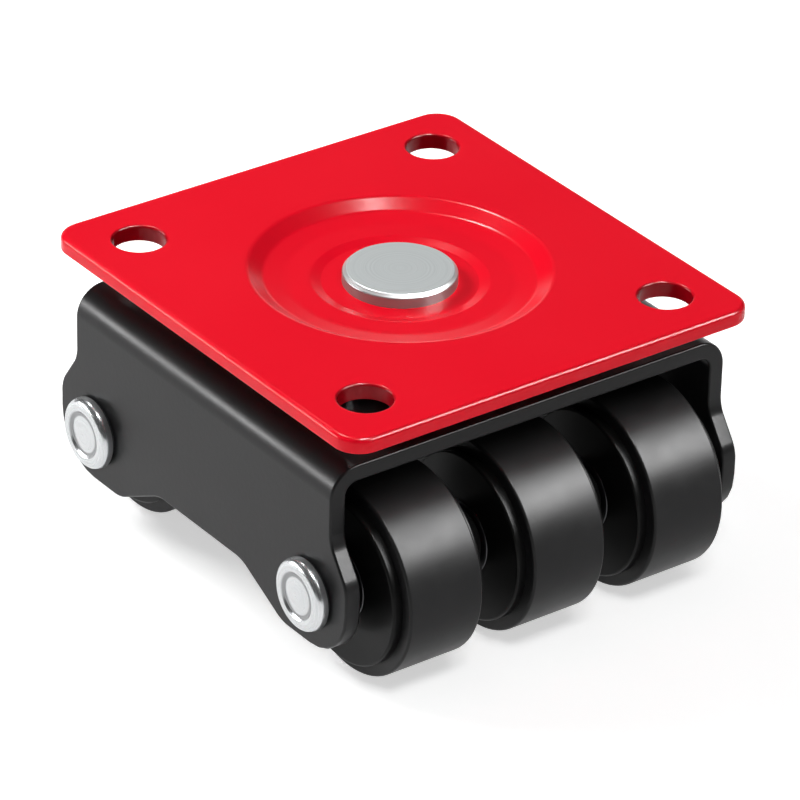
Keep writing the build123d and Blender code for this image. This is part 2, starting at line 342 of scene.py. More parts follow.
def copy_moved(piece, name, step):
    """Second copy of a finished piece, moved by a step, with a mesh of its own."""
    take(piece)
    bpy.ops.object.duplicate()
    twin = bpy.context.object
    twin.name = name
    bpy.ops.transform.translate(value=step)
    bpy.ops.object.transform_apply(location=True, rotation=False, scale=False)
    return twin


def smooth(piece):
    """Smooth round faces, crisp edges and truly flat flats."""
    take(piece)
    bpy.ops.object.shade_smooth_by_angle(angle=SMOOTH_ANGLE)
    apply_modifier(piece, "WEIGHTED_NORMAL", keep_sharp=True, weight=FLAT_WEIGHT)


def fit(piece, body, node, material):
    """Puts a piece on its body in place of the plain solid, with its finish."""
    piece.data.materials.clear()
    piece.data.materials.append(material)
    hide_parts(node)
    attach(piece, body)


def middle_of(node):
    """Centre of a node's box."""
    low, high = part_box(node)
    return (low + high) / 2


def half_size(node):
    """Half of a node's box along each axis."""
    low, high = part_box(node)
    return (high - low) / 2


# Plate, kingpin and the race parts that ride on the plate

def stamped_plate():
    """Plate blank with rounded edges, four bolt holes and the pressed dish let in."""
    low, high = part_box("top_plate")
    top, under = high.z, high.z - PLATE_SHEET
    plate = block("stamped_plate", (low.x, low.y, under), high)
    edit(plate)
    pick(plate, "EDGE", lambda edge: abs(edge.verts[0].co.z - edge.verts[1].co.z) > NEAR)
    bpy.ops.mesh.bevel(offset=PLATE_CORNER_R, segments=CORNER_STEPS, affect="EDGES")
    round_rim(plate, top, PLATE_TOP_EDGE_R, BEND_STEPS)
    round_rim(plate, under, PLATE_BOTTOM_EDGE_R, FINE_EDGE_STEPS)
    shift = PLATE_SHEET * tan(DISH_WALL_ANGLE / 2)
    flat_r = DISH_RIM_R + shift + DISH_RIM_BEND_R
    deep = -2 * PLATE_SHEET
    cut_with(plate, drill("dish_opening", "Z", (0, 0, top), flat_r, MM, deep, DISH_STEPS))
    for side in (-BOLT_X, BOLT_X):
        for end in (-BOLT_Y, BOLT_Y):
            cut_with(plate, bolt_hole_cutter((side, end, top)))
    edit(plate)
    pick(plate, "FACE", lambda face: is_opening_wall(face, flat_r))
    bpy.ops.mesh.delete(type="FACE")
    dish = pressed_dish(top, under, flat_r, shift)
    add_to(plate, dish)
    edit(plate)
    merge_doubles()
    leave_edit()
    return plate


def round_rim(plate, height, radius, steps):
    """Rounds the blank's outline at one height."""
    pick(plate, "EDGE", lambda edge: all(abs(v.co.z - height) < NEAR for v in edge.verts))
    bpy.ops.mesh.bevel(offset=radius, segments=steps, affect="EDGES", clamp_overlap=False)


def bolt_hole_cutter(place):
    """Drill with a flared mouth, so that the hole has a rounded rim."""
    deep = -2 * PLATE_SHEET
    rim = BOLT_HOLE_R + BOLT_HOLE_EDGE_R
    line = [
        (MM, 0, 0),
        (MM, rim, 0),
        (0, rim, 0),
        (-BOLT_HOLE_EDGE_R * FLARE_SHALLOW, BOLT_HOLE_R + BOLT_HOLE_EDGE_R * FLARE_STEEP, 0),
        (-BOLT_HOLE_EDGE_R * FLARE_STEEP, BOLT_HOLE_R + BOLT_HOLE_EDGE_R * FLARE_SHALLOW, 0),
        (-BOLT_HOLE_EDGE_R, BOLT_HOLE_R, 0),
        (deep, BOLT_HOLE_R, 0),
        (deep, 0, 0),
    ]
    return turn_on("flared_drill", "Z", place, line, SMALL_STEPS)


def is_opening_wall(face, flat_r):
    """True for the upright faces that the dish opening left round its cut."""
    centre = face.calc_center_median()
    on_circle = abs(centre.xy.length - flat_r) < OPENING_SLACK
    return on_circle and abs(face.normal.z) < SIDEWAYS


def pressed_dish(top, under, flat_r, shift):
    """Both skins of the dish, from the flat plate in to the kingpin's seat and back under."""
    floor = -DISH_DEPTH
    seat = floor - SEAT_STEP
    back = under - top
    floor_r = DISH_RIM_R - DISH_DEPTH / tan(DISH_WALL_ANGLE)
    seat_r = SEAT_RIM_R - SEAT_SLOPE_RUN
    bore_r = KINGPIN_R + KINGPIN_FIT
    line = [
        (0, flat_r, 0),
        (0, DISH_EDGE_R, DISH_EDGE_BEND_R),
        (floor + DISH_FOOT_LIFT, DISH_FOOT_R, DISH_FOOT_BEND_R),
        (floor, DISH_FLAT_R, DISH_FLAT_BEND_R),
        (floor, SEAT_RIM_R, SEAT_OUTER_BEND_R),
        (seat, seat_r, SEAT_INNER_BEND_R),
        (seat, bore_r, 0),
        (seat + back, bore_r, 0),
        (seat + back, seat_r, SEAT_OUTER_BEND_R),
        (floor + back, SEAT_RIM_R, SEAT_INNER_BEND_R),
        (floor + back, floor_r + shift, DISH_FLOOR_BEND_R + PLATE_SHEET),
        (back, DISH_RIM_R + shift, DISH_RIM_BEND_R - PLATE_SHEET),
        (back, flat_r, 0),
    ]
    return turn_on("dish", "Z", (0, 0, top), line, DISH_STEPS)


def kingpin_rivet():
    """Kingpin with its turned head, plain shank and formed foot."""
    low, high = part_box("kingpin")
    seat = -(DISH_DEPTH + SEAT_STEP)
    line = [
        (high.z, 0, 0),
        (high.z, KINGPIN_HEAD_R - KINGPIN_HEAD_CHAMFER, KINGPIN_BEND_R),
        (high.z - KINGPIN_HEAD_CHAMFER, KINGPIN_HEAD_R, KINGPIN_BEND_R),
        (seat, KINGPIN_HEAD_R, 0),
        (seat, KINGPIN_R, 0),
        (low.z + KINGPIN_FOOT_H, KINGPIN_R, 0),
        (low.z + KINGPIN_FOOT_H, KINGPIN_FOOT_R, 0),
        (low.z, KINGPIN_FOOT_R, KINGPIN_FOOT_EDGE_R),
        (low.z, 0, 0),
    ]
    return turn_on("kingpin_rivet", "Z", (0, 0, 0), line, SMALL_STEPS)


def kingpin_tube():
    """Sleeve on the kingpin between plate and cup."""
    low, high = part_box("pivot_sleeve")
    bore_r = KINGPIN_R + KINGPIN_FIT
    line = [(high.z, bore_r, 0), (high.z, high.x, 0), (low.z, high.x, 0), (low.z, bore_r, 0)]
    return turn_on("kingpin_tube", "Z", (0, 0, 0), line, SMALL_STEPS, closed=True)


def race_cup():
    """Pressed cup that carries the lower balls, with a rounded lip."""
    low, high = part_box("lower_race_cup")
    bore_r = KINGPIN_R + KINGPIN_FIT
    floor = low.z + CUP_SHEET
    line = [
        (low.z, bore_r, 0),
        (low.z, high.x, CUP_BEND_R),
        (high.z, high.x, CUP_LIP_R),
        (high.z, high.x - CUP_SHEET, CUP_LIP_R),
        (floor, high.x - CUP_SHEET, CUP_BEND_R - CUP_SHEET),
        (floor, bore_r, 0),
    ]
    return turn_on("race_cup", "Z", (0, 0, 0), line, SMALL_STEPS, closed=True)


def ball_set(name, node, count):
    """One polished ball, spun round the kingpin into a full ring of loose balls."""
    low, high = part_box(node)
    ball_r = (high.z - low.z) / 2
    ring_r = high.x - ball_r
    leave_edit()
    bpy.ops.mesh.primitive_ico_sphere_add(
        subdivisions=BALL_STEPS, radius=ball_r, location=(ring_r, 0, (low.z + high.z) / 2)
    )
    piece = bpy.context.object
    piece.name = name
    bpy.ops.object.transform_apply(location=True, rotation=True, scale=True)
    edit(piece)
    bpy.ops.mesh.select_all(action="SELECT")
    bpy.ops.mesh.spin(steps=count, dupli=True, angle=2 * pi, center=(0, 0, 0), axis=(0, 0, 1))
    merge_doubles()
    leave_edit()
    return piece


# Frame and what is riveted into it

def frame_outline():
    """Corners of the frame's side view, (y, z, bend radius), all the way round."""
    low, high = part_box("frame")
    axle_z = middle_of("front_axle").z
    half = [
        (FRAME_HALF_LENGTH, high.z + MM, 0),
        (FRAME_HALF_LENGTH, high.z - FRAME_WALL_STRAIGHT, EAR_SHOULDER_R),
        (high.y, axle_z + EAR_RISE, EAR_SHOULDER_R),
        (high.y, low.z, EAR_CORNER_R),
        (ARCH_HALF_LENGTH + ARCH_FOOT_RUN, low.z, ARCH_BEND_R),
        (ARCH_HALF_LENGTH, low.z + ARCH_RISE, ARCH_BEND_R),
    ]
    return half + [(-y, z, bend) for y, z, bend in reversed(half)]


def side_cutter(width):
    """Solid with the frame's side outline, as wide as given."""
    line = [((-width / 2, y, z), bend) for y, z, bend in frame_outline()]
    tool = draw_line("side_cutter", line, closed=True)
    bpy.ops.mesh.select_all(action="SELECT")
    bpy.ops.mesh.edge_face_add()
    bpy.ops.mesh.extrude_region_move(TRANSFORM_OT_translate={"value": (width, 0, 0)})
    merge_doubles()
    leave_edit()
    return tool


def bent_frame():
    """Sheet bent to an upside-down U, blanked to its side outline, edges eased, holes cut."""
    low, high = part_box("frame")
    start = (low.x, low.y - CUT_ROOM, low.z - CUT_ROOM)
    sheet = block("bent_frame", start, (high.x, high.y + CUT_ROOM, high.z))
    edit(sheet)
    pick(sheet, "EDGE", lambda edge: is_crown_side(edge, high.z))
    bpy.ops.mesh.bevel(
        offset=FRAME_BEND_R, segments=SHEET_BEND_STEPS, affect="EDGES", clamp_overlap=False
    )
    pick(sheet, "FACE", lambda face: abs(face.normal.y) > SQUARE_ON or face.normal.z < -SQUARE_ON)
    bpy.ops.mesh.delete(type="FACE")
    apply_modifier(sheet, "SOLIDIFY", thickness=FRAME_SHEET, offset=-1, use_even_offset=True)
    reach = high.x + CUT_ROOM
    cut_with(sheet, side_cutter(2 * reach), "INTERSECT")
    edit(sheet)
    bpy.ops.mesh.select_mode(type="EDGE")
    bpy.ops.mesh.select_all(action="DESELECT")
    bpy.ops.mesh.edges_select_sharp(sharpness=CUT_EDGE_ANGLE)
    bpy.ops.mesh.bevel(
        offset=FRAME_EDGE_R, segments=FINE_EDGE_STEPS, affect="EDGES", clamp_overlap=False
    )
    cut_with(sheet, drill("crown_hole", "Z", (0, 0, high.z), FRAME_HOLE_R, CUT_ROOM, -CUT_ROOM))
    for end in ENDS:
        centre = middle_of(f"{end}_axle")
        cut_with(sheet, drill("axle_bore", "X", centre, AXLE_BORE_R, -reach, reach))
    return sheet


def is_crown_side(edge, top):
    """True for the blank's two long top edges."""
    first, second = (vertex.co for vertex in edge.verts)
    at_top = abs(first.z - top) < NEAR and abs(second.z - top) < NEAR
    return at_top and abs(first.x - second.x) < NEAR


def riveted_axle():
    """Axle with a head upset at each end: round rim, ring groove, low dome, undercut back."""
    half = half_size("front_axle")
    wall = half.x - HEAD_H
    line = [
        (-half.x + HEAD_DOME_D, 0, 0),
        (-half.x + 2 * HEAD_DOME_D, HEAD_DOME_R, HEAD_DOME_BEND_R),
        (-half.x + HEAD_RING_D, HEAD_RING_R, HEAD_RING_BEND_R),
        (-half.x, HEAD_RING_R + HEAD_RING_W, HEAD_RING_BEND_R),
        (-half.x, half.z, HEAD_EDGE_R),
        (-wall - HEAD_UNDERCUT, half.z, HEAD_UNDERCUT_BEND_R),
        (-wall, half.z - HEAD_UNDERCUT, 0),
        (-wall, AXLE_R, 0),
    ]
    centre = middle_of("front_axle")
    return turn_on("front_riveted_axle", "X", centre, both_ends(line), SMALL_STEPS)


def collar_pair(name, node, inner_way):
    """Two tubes on the axle, mirror images, from inner_way out to the node's ends."""
    half = half_size(node)
    line = [
        (inner_way, COLLAR_BORE_R, 0),
        (inner_way, half.z, COLLAR_EDGE_R),
        (half.x, half.z, COLLAR_EDGE_R),
        (half.x, COLLAR_BORE_R, 0),
    ]
    mirrored = [(-way, radius, bend) for way, radius, bend in line]
    centre = middle_of(node)
    pair = turn_on(name, "X", centre, line, SMALL_STEPS, closed=True)
    other = turn_on("other", "X", centre, mirrored, SMALL_STEPS, closed=True)
    add_to(pair, other)
    return pair


# Wheels

def tread_ring():
    """Tread with rounded shoulders."""
    half = half_size("front_left_tyre")
    bore_r = half.z - TREAD_THICKNESS
    line = both_ends([(-half.x, bore_r, 0), (-half.x, half.z, TREAD_EDGE_R)])
    centre = middle_of("front_left_tyre")
    return turn_on("front_left_tread", "X", centre, line, WHEEL_STEPS, closed=True)


def wheel_hub():
    """Moulded hub with a rounded disc on each side of the tread."""
    half = half_size("front_left_core")
    tread_half = half_size("front_left_tyre")
    seat_r = tread_half.z - TREAD_THICKNESS - SLIP_FIT
    line = both_ends([
        (-half.x, half_size("front_left_bush").z + SLIP_FIT, 0),
        (-half.x, half.z, CORE_EDGE_R),
        (-tread_half.x - SLIP_FIT, half.z, 0),
        (-tread_half.x - SLIP_FIT, seat_r, 0),
    ])
    centre = middle_of("front_left_core")
    return turn_on("front_left_hub", "X", centre, line, WHEEL_STEPS, closed=True)


def bearing_bush():
    """Plain bearing that stands a little proud of the hub."""
    half = half_size("front_left_bush")
    line = both_ends([(-half.x, BUSH_BORE_R, 0), (-half.x, half.z, BUSH_EDGE_R)])
    centre = middle_of("front_left_bush")
    return turn_on("front_left_bearing", "X", centre, line, SMALL_STEPS, closed=True)


# Finishes

def add_node(tree, kind, inputs=None, **settings):
    """New shader node with its settings and input values."""
    made = tree.nodes.new(kind)
    for name, value in settings.items():
        setattr(made, name, value)
    for name, value in (inputs or {}).items():
        made.inputs[name].default_value = value
    return made


def new_group(name, inputs, outputs):
    """Empty node group; inputs are {name: default}, outputs {name: socket kind}."""
    tree = bpy.data.node_groups.new(name, "ShaderNodeTree")
    for label, value in inputs.items():
        socket = tree.interface.new_socket(label, in_out="INPUT", socket_type="NodeSocketFloat")
        socket.default_value = value
    for label, kind in outputs.items():
        tree.interface.new_socket(label, in_out="OUTPUT", socket_type=kind)
    return tree, tree.nodes.new("NodeGroupInput"), tree.nodes.new("NodeGroupOutput")


def sprayed_skin_group():
    """Skin of a baked powder coat: fine peel, and a slow drift of tone and gloss."""
    tree, given, result = new_group(
        "sprayed_skin",
        {"Peel scale": 700.0, "Peel depth": 0.00002, "Drift scale": 30.0, "Drift": 0.05},
        {"Normal": "NodeSocketVector", "Tone": "NodeSocketFloat"},
    )
    link = tree.links.new
    place = add_node(tree, "ShaderNodeTexCoord").outputs["Object"]
    peel = add_node(tree, "ShaderNodeTexNoise", {"Detail": 2.0, "Roughness": 0.45})
    drift = add_node(tree, "ShaderNodeTexNoise", {"Detail": 3.0})
    bump = add_node(tree, "ShaderNodeBump", {"Strength": 1.0})
    centred = add_node(tree, "ShaderNodeMath", {1: 0.5}, operation="SUBTRACT")
    scaled = add_node(tree, "ShaderNodeMath", operation="MULTIPLY")
    tone = add_node(tree, "ShaderNodeMath", {1: 1.0}, operation="ADD")
    link(place, peel.inputs["Vector"])
    link(place, drift.inputs["Vector"])
    link(given.outputs["Peel scale"], peel.inputs["Scale"])
    link(given.outputs["Drift scale"], drift.inputs["Scale"])
    link(peel.outputs["Fac"], bump.inputs["Height"])
    link(given.outputs["Peel depth"], bump.inputs["Distance"])
    link(drift.outputs["Fac"], centred.inputs[0])
    link(centred.outputs[0], scaled.inputs[0])
    link(given.outputs["Drift"], scaled.inputs[1])
    link(scaled.outputs[0], tone.inputs[0])
    link(bump.outputs["Normal"], result.inputs["Normal"])
    link(tone.outputs[0], result.inputs["Tone"])
    return tree


def lathe_rings_group():
    """Fine concentric tool marks; takes the distance from the axis in metres."""
    tree, given, result = new_group(
        "lathe_rings",
        {"From axis": 0.0, "Ring scale": 2500.0, "Ring depth": 0.00001},
        {"Normal": "NodeSocketVector", "Mark": "NodeSocketFloat"},
    )
    link = tree.links.new
    rings = add_node(
        tree, "ShaderNodeTexNoise", {"Detail": 4.0, "Roughness": 0.7}, noise_dimensions="1D"
    )
    bump = add_node(tree, "ShaderNodeBump", {"Strength": 1.0})
    link(given.outputs["From axis"], rings.inputs["W"])
    link(given.outputs["Ring scale"], rings.inputs["Scale"])
    link(rings.outputs["Fac"], bump.inputs["Height"])
    link(given.outputs["Ring depth"], bump.inputs["Distance"])
    link(bump.outputs["Normal"], result.inputs["Normal"])
    link(rings.outputs["Fac"], result.inputs["Mark"])
    return tree


def moulded_skin_group():
    """Faint grain of a moulded surface, with softly uneven gloss."""
    tree, given, result = new_group(
        "moulded_skin",
        {"Grain scale": 1800.0, "Grain depth": 0.00001, "Gloss scale": 90.0},
        {"Normal": "NodeSocketVector", "Gloss": "NodeSocketFloat"},
    )
    link = tree.links.new
    place = add_node(tree, "ShaderNodeTexCoord").outputs["Object"]
    grain = add_node(tree, "ShaderNodeTexNoise", {"Detail": 3.0, "Roughness": 0.6})
    gloss = add_node(tree, "ShaderNodeTexNoise", {"Detail": 4.0, "Roughness": 0.6})
    bump = add_node(tree, "ShaderNodeBump", {"Strength": 1.0})
    link(place, grain.inputs["Vector"])
    link(place, gloss.inputs["Vector"])
    link(given.outputs["Grain scale"], grain.inputs["Scale"])
    link(given.outputs["Gloss scale"], gloss.inputs["Scale"])
    link(grain.outputs["Fac"], bump.inputs["Height"])
    link(given.outputs["Grain depth"], bump.inputs["Distance"])
    link(bump.outputs["Normal"], result.inputs["Normal"])
    link(gloss.outputs["Fac"], result.inputs["Gloss"])
    return tree


def new_finish(name, **constants):
    """Material with a Principled shader; constants are its plain socket values."""
    finish = bpy.data.materials.new(name)
    finish.use_nodes = True
    shader = finish.node_tree.nodes["Principled BSDF"]
    for label, value in constants.items():
        shader.inputs[label.replace("_", " ")].default_value = value
    return finish, finish.node_tree, shader


def place_group(tree, group, values):
    """Puts a node group into a material with its own values."""
    made = add_node(tree, "ShaderNodeGroup", node_tree=group)
    for name, value in values.items():
        made.inputs[name].default_value = value
    return made


def tinted(tree, colour, tone):
    """Colour times a tone that changes over the surface."""
    mix = add_node(tree, "ShaderNodeVectorMath", {0: colour}, operation="SCALE")
    tree.links.new(tone, mix.inputs["Scale"])
    return mix.outputs["Vector"]


def ranged(tree, value, low, high, given=NOISE_RANGE):
    """A value from the given range spread between two limits."""
    spread = add_node(
        tree, "ShaderNodeMapRange",
        {"From Min": given[0], "From Max": given[1], "To Min": low, "To Max": high},
    )
    tree.links.new(value, spread.inputs["Value"])
    return spread.outputs["Result"]


def painted_hole_shade(tree, colour):
    """Darkens a colour on the walls of the four bolt holes: painted shade, standing in for the
    shade that falls in the holes.
    """
    place = add_node(tree, "ShaderNodeTexCoord").outputs["Object"]
    fold = add_node(tree, "ShaderNodeVectorMath", operation="ABSOLUTE")
    apart = add_node(tree, "ShaderNodeVectorMath", {1: (BOLT_X, BOLT_Y, 0)}, operation="SUBTRACT")
    flat = add_node(tree, "ShaderNodeVectorMath", {1: (1, 1, 0)}, operation="MULTIPLY")
    length = add_node(tree, "ShaderNodeVectorMath", operation="LENGTH")
    shade = add_node(
        tree, "ShaderNodeMapRange",
        {"From Min": BOLT_HOLE_R, "From Max": BOLT_HOLE_R + BOLT_HOLE_EDGE_R, "To Min": HOLE_PAINTED_SHADE},
    )
    mix = add_node(tree, "ShaderNodeVectorMath", operation="SCALE")
    tree.links.new(place, fold.inputs[0])
    tree.links.new(fold.outputs["Vector"], apart.inputs[0])
    tree.links.new(apart.outputs["Vector"], flat.inputs[0])
    tree.links.new(flat.outputs["Vector"], length.inputs[0])
    tree.links.new(length.outputs["Value"], shade.inputs["Value"])
    tree.links.new(colour, mix.inputs[0])
    tree.links.new(shade.outputs["Result"], mix.inputs["Scale"])
    return mix.outputs["Vector"]


def coat_finish(name, colour, skin, roughness, peel, drift, paint_hole_shade=False, **constants):
    """Sprayed and baked coat in one colour; the hole flag paints shade onto the bolt holes' walls.
    """
    finish, tree, shader = new_finish(name, **constants)
    sprayed = place_group(tree, skin, {**peel, "Drift": drift})
    colours = tinted(tree, colour, sprayed.outputs["Tone"])
    if paint_hole_shade:
        colours = painted_hole_shade(tree, colours)
    tree.links.new(colours, shader.inputs["Base Color"])
    usual_tone = (1 - drift / 4, 1 + drift / 4)
    gloss = ranged(tree, sprayed.outputs["Tone"], *roughness, given=usual_tone)
    tree.links.new(gloss, shader.inputs["Roughness"])
    tree.links.new(sprayed.outputs["Normal"], shader.inputs["Normal"])
    return finish


def axis_distance(tree, axis, offset):
    """Distance in metres from a piece's turning axis; X folds both axles onto one."""
    place = add_node(tree, "ShaderNodeTexCoord").outputs["Object"]
    if axis == "X":
        fold = add_node(tree, "ShaderNodeVectorMath", operation="ABSOLUTE")
        tree.links.new(place, fold.inputs[0])
        place = fold.outputs["Vector"]
    centre = add_node(tree, "ShaderNodeMapping", {"Location": offset})
    flat = add_node(
        tree, "ShaderNodeVectorMath", {1: (1, 1, 0) if axis == "Z" else (0, 1, 1)},
        operation="MULTIPLY",
    )
    length = add_node(tree, "ShaderNodeVectorMath", operation="LENGTH")
    tree.links.new(place, centre.inputs["Vector"])
    tree.links.new(centre.outputs["Vector"], flat.inputs[0])
    tree.links.new(flat.outputs["Vector"], length.inputs[0])
    return length.outputs["Value"]


def painted_ring_shade(tree, distance, tone, radius, width, level):
    """Darkens a tone to a level in one ring of the surface, as painted shade: in a groove, or on a
    head's skirt.
    """
    apart = add_node(tree, "ShaderNodeMath", {1: radius}, operation="SUBTRACT")
    away = add_node(tree, "ShaderNodeMath", operation="ABSOLUTE")
    shade = add_node(
        tree, "ShaderNodeMapRange", {"From Min": width / 2, "From Max": width, "To Min": level},
    )
    mix = add_node(tree, "ShaderNodeMath", operation="MULTIPLY")
    tree.links.new(distance, apart.inputs[0])
    tree.links.new(apart.outputs[0], away.inputs[0])
    tree.links.new(away.outputs[0], shade.inputs["Value"])
    tree.links.new(shade.outputs["Result"], mix.inputs[0])
    tree.links.new(tone, mix.inputs[1])
    return mix.outputs[0]


def turned_finish(
    name, colour, rings, distance, roughness, depth, shade, painted_shade_ring=None, **constants
):
    """Bare or plated metal with fine concentric marks; the ring option paints shade into one ring.
    """
    finish, tree, shader = new_finish(name, **constants)
    marks = place_group(tree, rings, {"Ring depth": depth})
    from_axis = axis_distance(tree, *distance)
    tree.links.new(from_axis, marks.inputs["From axis"])
    tone = ranged(tree, marks.outputs["Mark"], 1 - shade, 1 + shade)
    if painted_shade_ring:
        # painted shade in one ring of the surface
        tone = painted_ring_shade(tree, from_axis, tone, *painted_shade_ring)
    tree.links.new(tinted(tree, colour, tone), shader.inputs["Base Color"])
    tree.links.new(ranged(tree, marks.outputs["Mark"], *roughness), shader.inputs["Roughness"])
    tree.links.new(marks.outputs["Normal"], shader.inputs["Normal"])
    return finish


def moulded_finish(name, colour, skin, roughness, grain, **constants):
    """Black moulding with faint grain and uneven gloss."""
    finish, tree, shader = new_finish(name, **constants)
    moulded = place_group(tree, skin, {"Grain depth": grain})
    tone = ranged(tree, moulded.outputs["Gloss"], *MOULD_TONE)
    tree.links.new(tinted(tree, colour, tone), shader.inputs["Base Color"])
    tree.links.new(ranged(tree, moulded.outputs["Gloss"], *roughness), shader.inputs["Roughness"])
    tree.links.new(moulded.outputs["Normal"], shader.inputs["Normal"])
    return finish


def make_finishes():
    """Every finish of the caster, by the name of its slot."""
    skin = sprayed_skin_group()
    rings = lathe_rings_group()
    mould = moulded_skin_group()
    axle = middle_of("rear_axle")
    on_axle = ("X", (0, -axle.y, axle.z))
    on_kingpin = ("Z", (0, 0, 0))
    return {
        "red_powder_coat": coat_finish(
            "red_powder_coat", (0.93, 0.003, 0.019), skin, roughness=(0.16, 0.24),
            peel={"Peel scale": 650.0, "Peel depth": 0.000012, "Drift scale": 25.0}, drift=0.05,
            # the bolt holes' walls get painted shade
            paint_hole_shade=True, IOR=1.24,
        ),
        "black_coat": coat_finish(
            "black_coat", (0.009, 0.009, 0.0095), skin, roughness=(0.28, 0.36),
            peel={"Peel scale": 900.0, "Peel depth": 0.000014, "Drift scale": 60.0}, drift=0.10,
            IOR=1.28,
        ),
        "turned_steel": turned_finish(
            "turned_steel", (0.63, 0.665, 0.665), rings, on_kingpin,
            roughness=(0.28, 0.36), depth=0.000006, shade=0.06,
            # the side of the kingpin's head gets painted shade
            painted_shade_ring=(KINGPIN_HEAD_R, KINGPIN_BEND_R / 2, SKIRT_PAINTED_SHADE), Metallic=0.45,
        ),
        "zinc_steel": turned_finish(
            "zinc_steel", (0.55, 0.565, 0.575), rings, on_axle,
            roughness=(0.22, 0.30), depth=0.000003, shade=0.02,
            # the ring groove of each axle head gets painted shade
            painted_shade_ring=(HEAD_RING_R, HEAD_RING_W, GROOVE_PAINTED_SHADE), Metallic=0.85,
        ),
        "bush_steel": turned_finish(
            "bush_steel", (0.10, 0.10, 0.105), rings, on_axle,
            roughness=(0.32, 0.42), depth=0.000004, shade=0.05, Metallic=1.0,
        ),
        "ball_steel": turned_finish(
            "ball_steel", (0.75, 0.76, 0.78), rings, on_kingpin,
            roughness=(0.08, 0.12), depth=0.0, shade=0.02, Metallic=1.0,
        ),
        "tread_black": moulded_finish(
            "tread_black", (0.008, 0.008, 0.0085), mould,
            roughness=(0.36, 0.46), grain=0.000008, IOR=1.27,
        ),
        "core_black": moulded_finish(
            "core_black", (0.004, 0.004, 0.004), mould,
            roughness=(0.30, 0.38), grain=0.000005, IOR=1.2,
        ),
        "spacer_black": moulded_finish(
            "spacer_black", (0.008, 0.008, 0.008), mould,
            roughness=(0.40, 0.50), grain=0.000005, IOR=1.25,
        ),
    }


# Studio

def softbox(name, towards, size, power, light=True, shine=True):
    """Soft lamp that faces the caster; without light or shine, only its other part is left."""
    lamp = bpy.data.lights.new(name, "AREA")
    lamp.shape = "RECTANGLE"
    lamp.size, lamp.size_y = size
    lamp.energy = power
    holder = bpy.data.objects.new(name, lamp)
    direction = Vector(towards).normalized()
    holder.location = VIEW_AIM + direction * LAMP_DISTANCE
    holder.rotation_mode = "QUATERNION"
    holder.rotation_quaternion = direction.to_track_quat("Z", "Y")
    holder.visible_camera = False
    holder.visible_diffuse = light
    holder.visible_glossy = shine
    bpy.context.scene.collection.objects.link(holder)


def lay_floor():
    """Plain pale floor that turns white to the camera and keeps the shadow."""
    leave_edit()
    bpy.ops.mesh.primitive_plane_add(size=FLOOR_SIZE, location=(0, 0, cad_box[0].z))
    floor = bpy.context.object
    floor.name = "floor"
    finish = bpy.data.materials.new("pale_floor")
    finish.use_nodes = True
    tree = finish.node_tree
    tree.nodes.clear()
    link = tree.links.new
    pale = add_node(tree, "ShaderNodeBsdfDiffuse", {"Color": FLOOR_GREY})
    lift = add_node(tree, "ShaderNodeEmission", {"Color": WHITE})
    ray = add_node(tree, "ShaderNodeLightPath")
    seen = add_node(tree, "ShaderNodeMath", operation="MAXIMUM")
    also = add_node(tree, "ShaderNodeMath", operation="MAXIMUM")
    strength = add_node(tree, "ShaderNodeMath", {1: FLOOR_LIFT}, operation="MULTIPLY")
    both = add_node(tree, "ShaderNodeAddShader")
    out = add_node(tree, "ShaderNodeOutputMaterial")
    link(ray.outputs["Is Camera Ray"], seen.inputs[0])
    link(ray.outputs["Is Transmission Ray"], seen.inputs[1])
    link(seen.outputs[0], also.inputs[0])
    link(ray.outputs["Is Glossy Ray"], also.inputs[1])
    link(also.outputs[0], strength.inputs[0])
    link(strength.outputs[0], lift.inputs["Strength"])
    link(pale.outputs[0], both.inputs[0])
    link(lift.outputs[0], both.inputs[1])
    link(both.outputs[0], out.inputs["Surface"])
    floor.data.materials.append(finish)


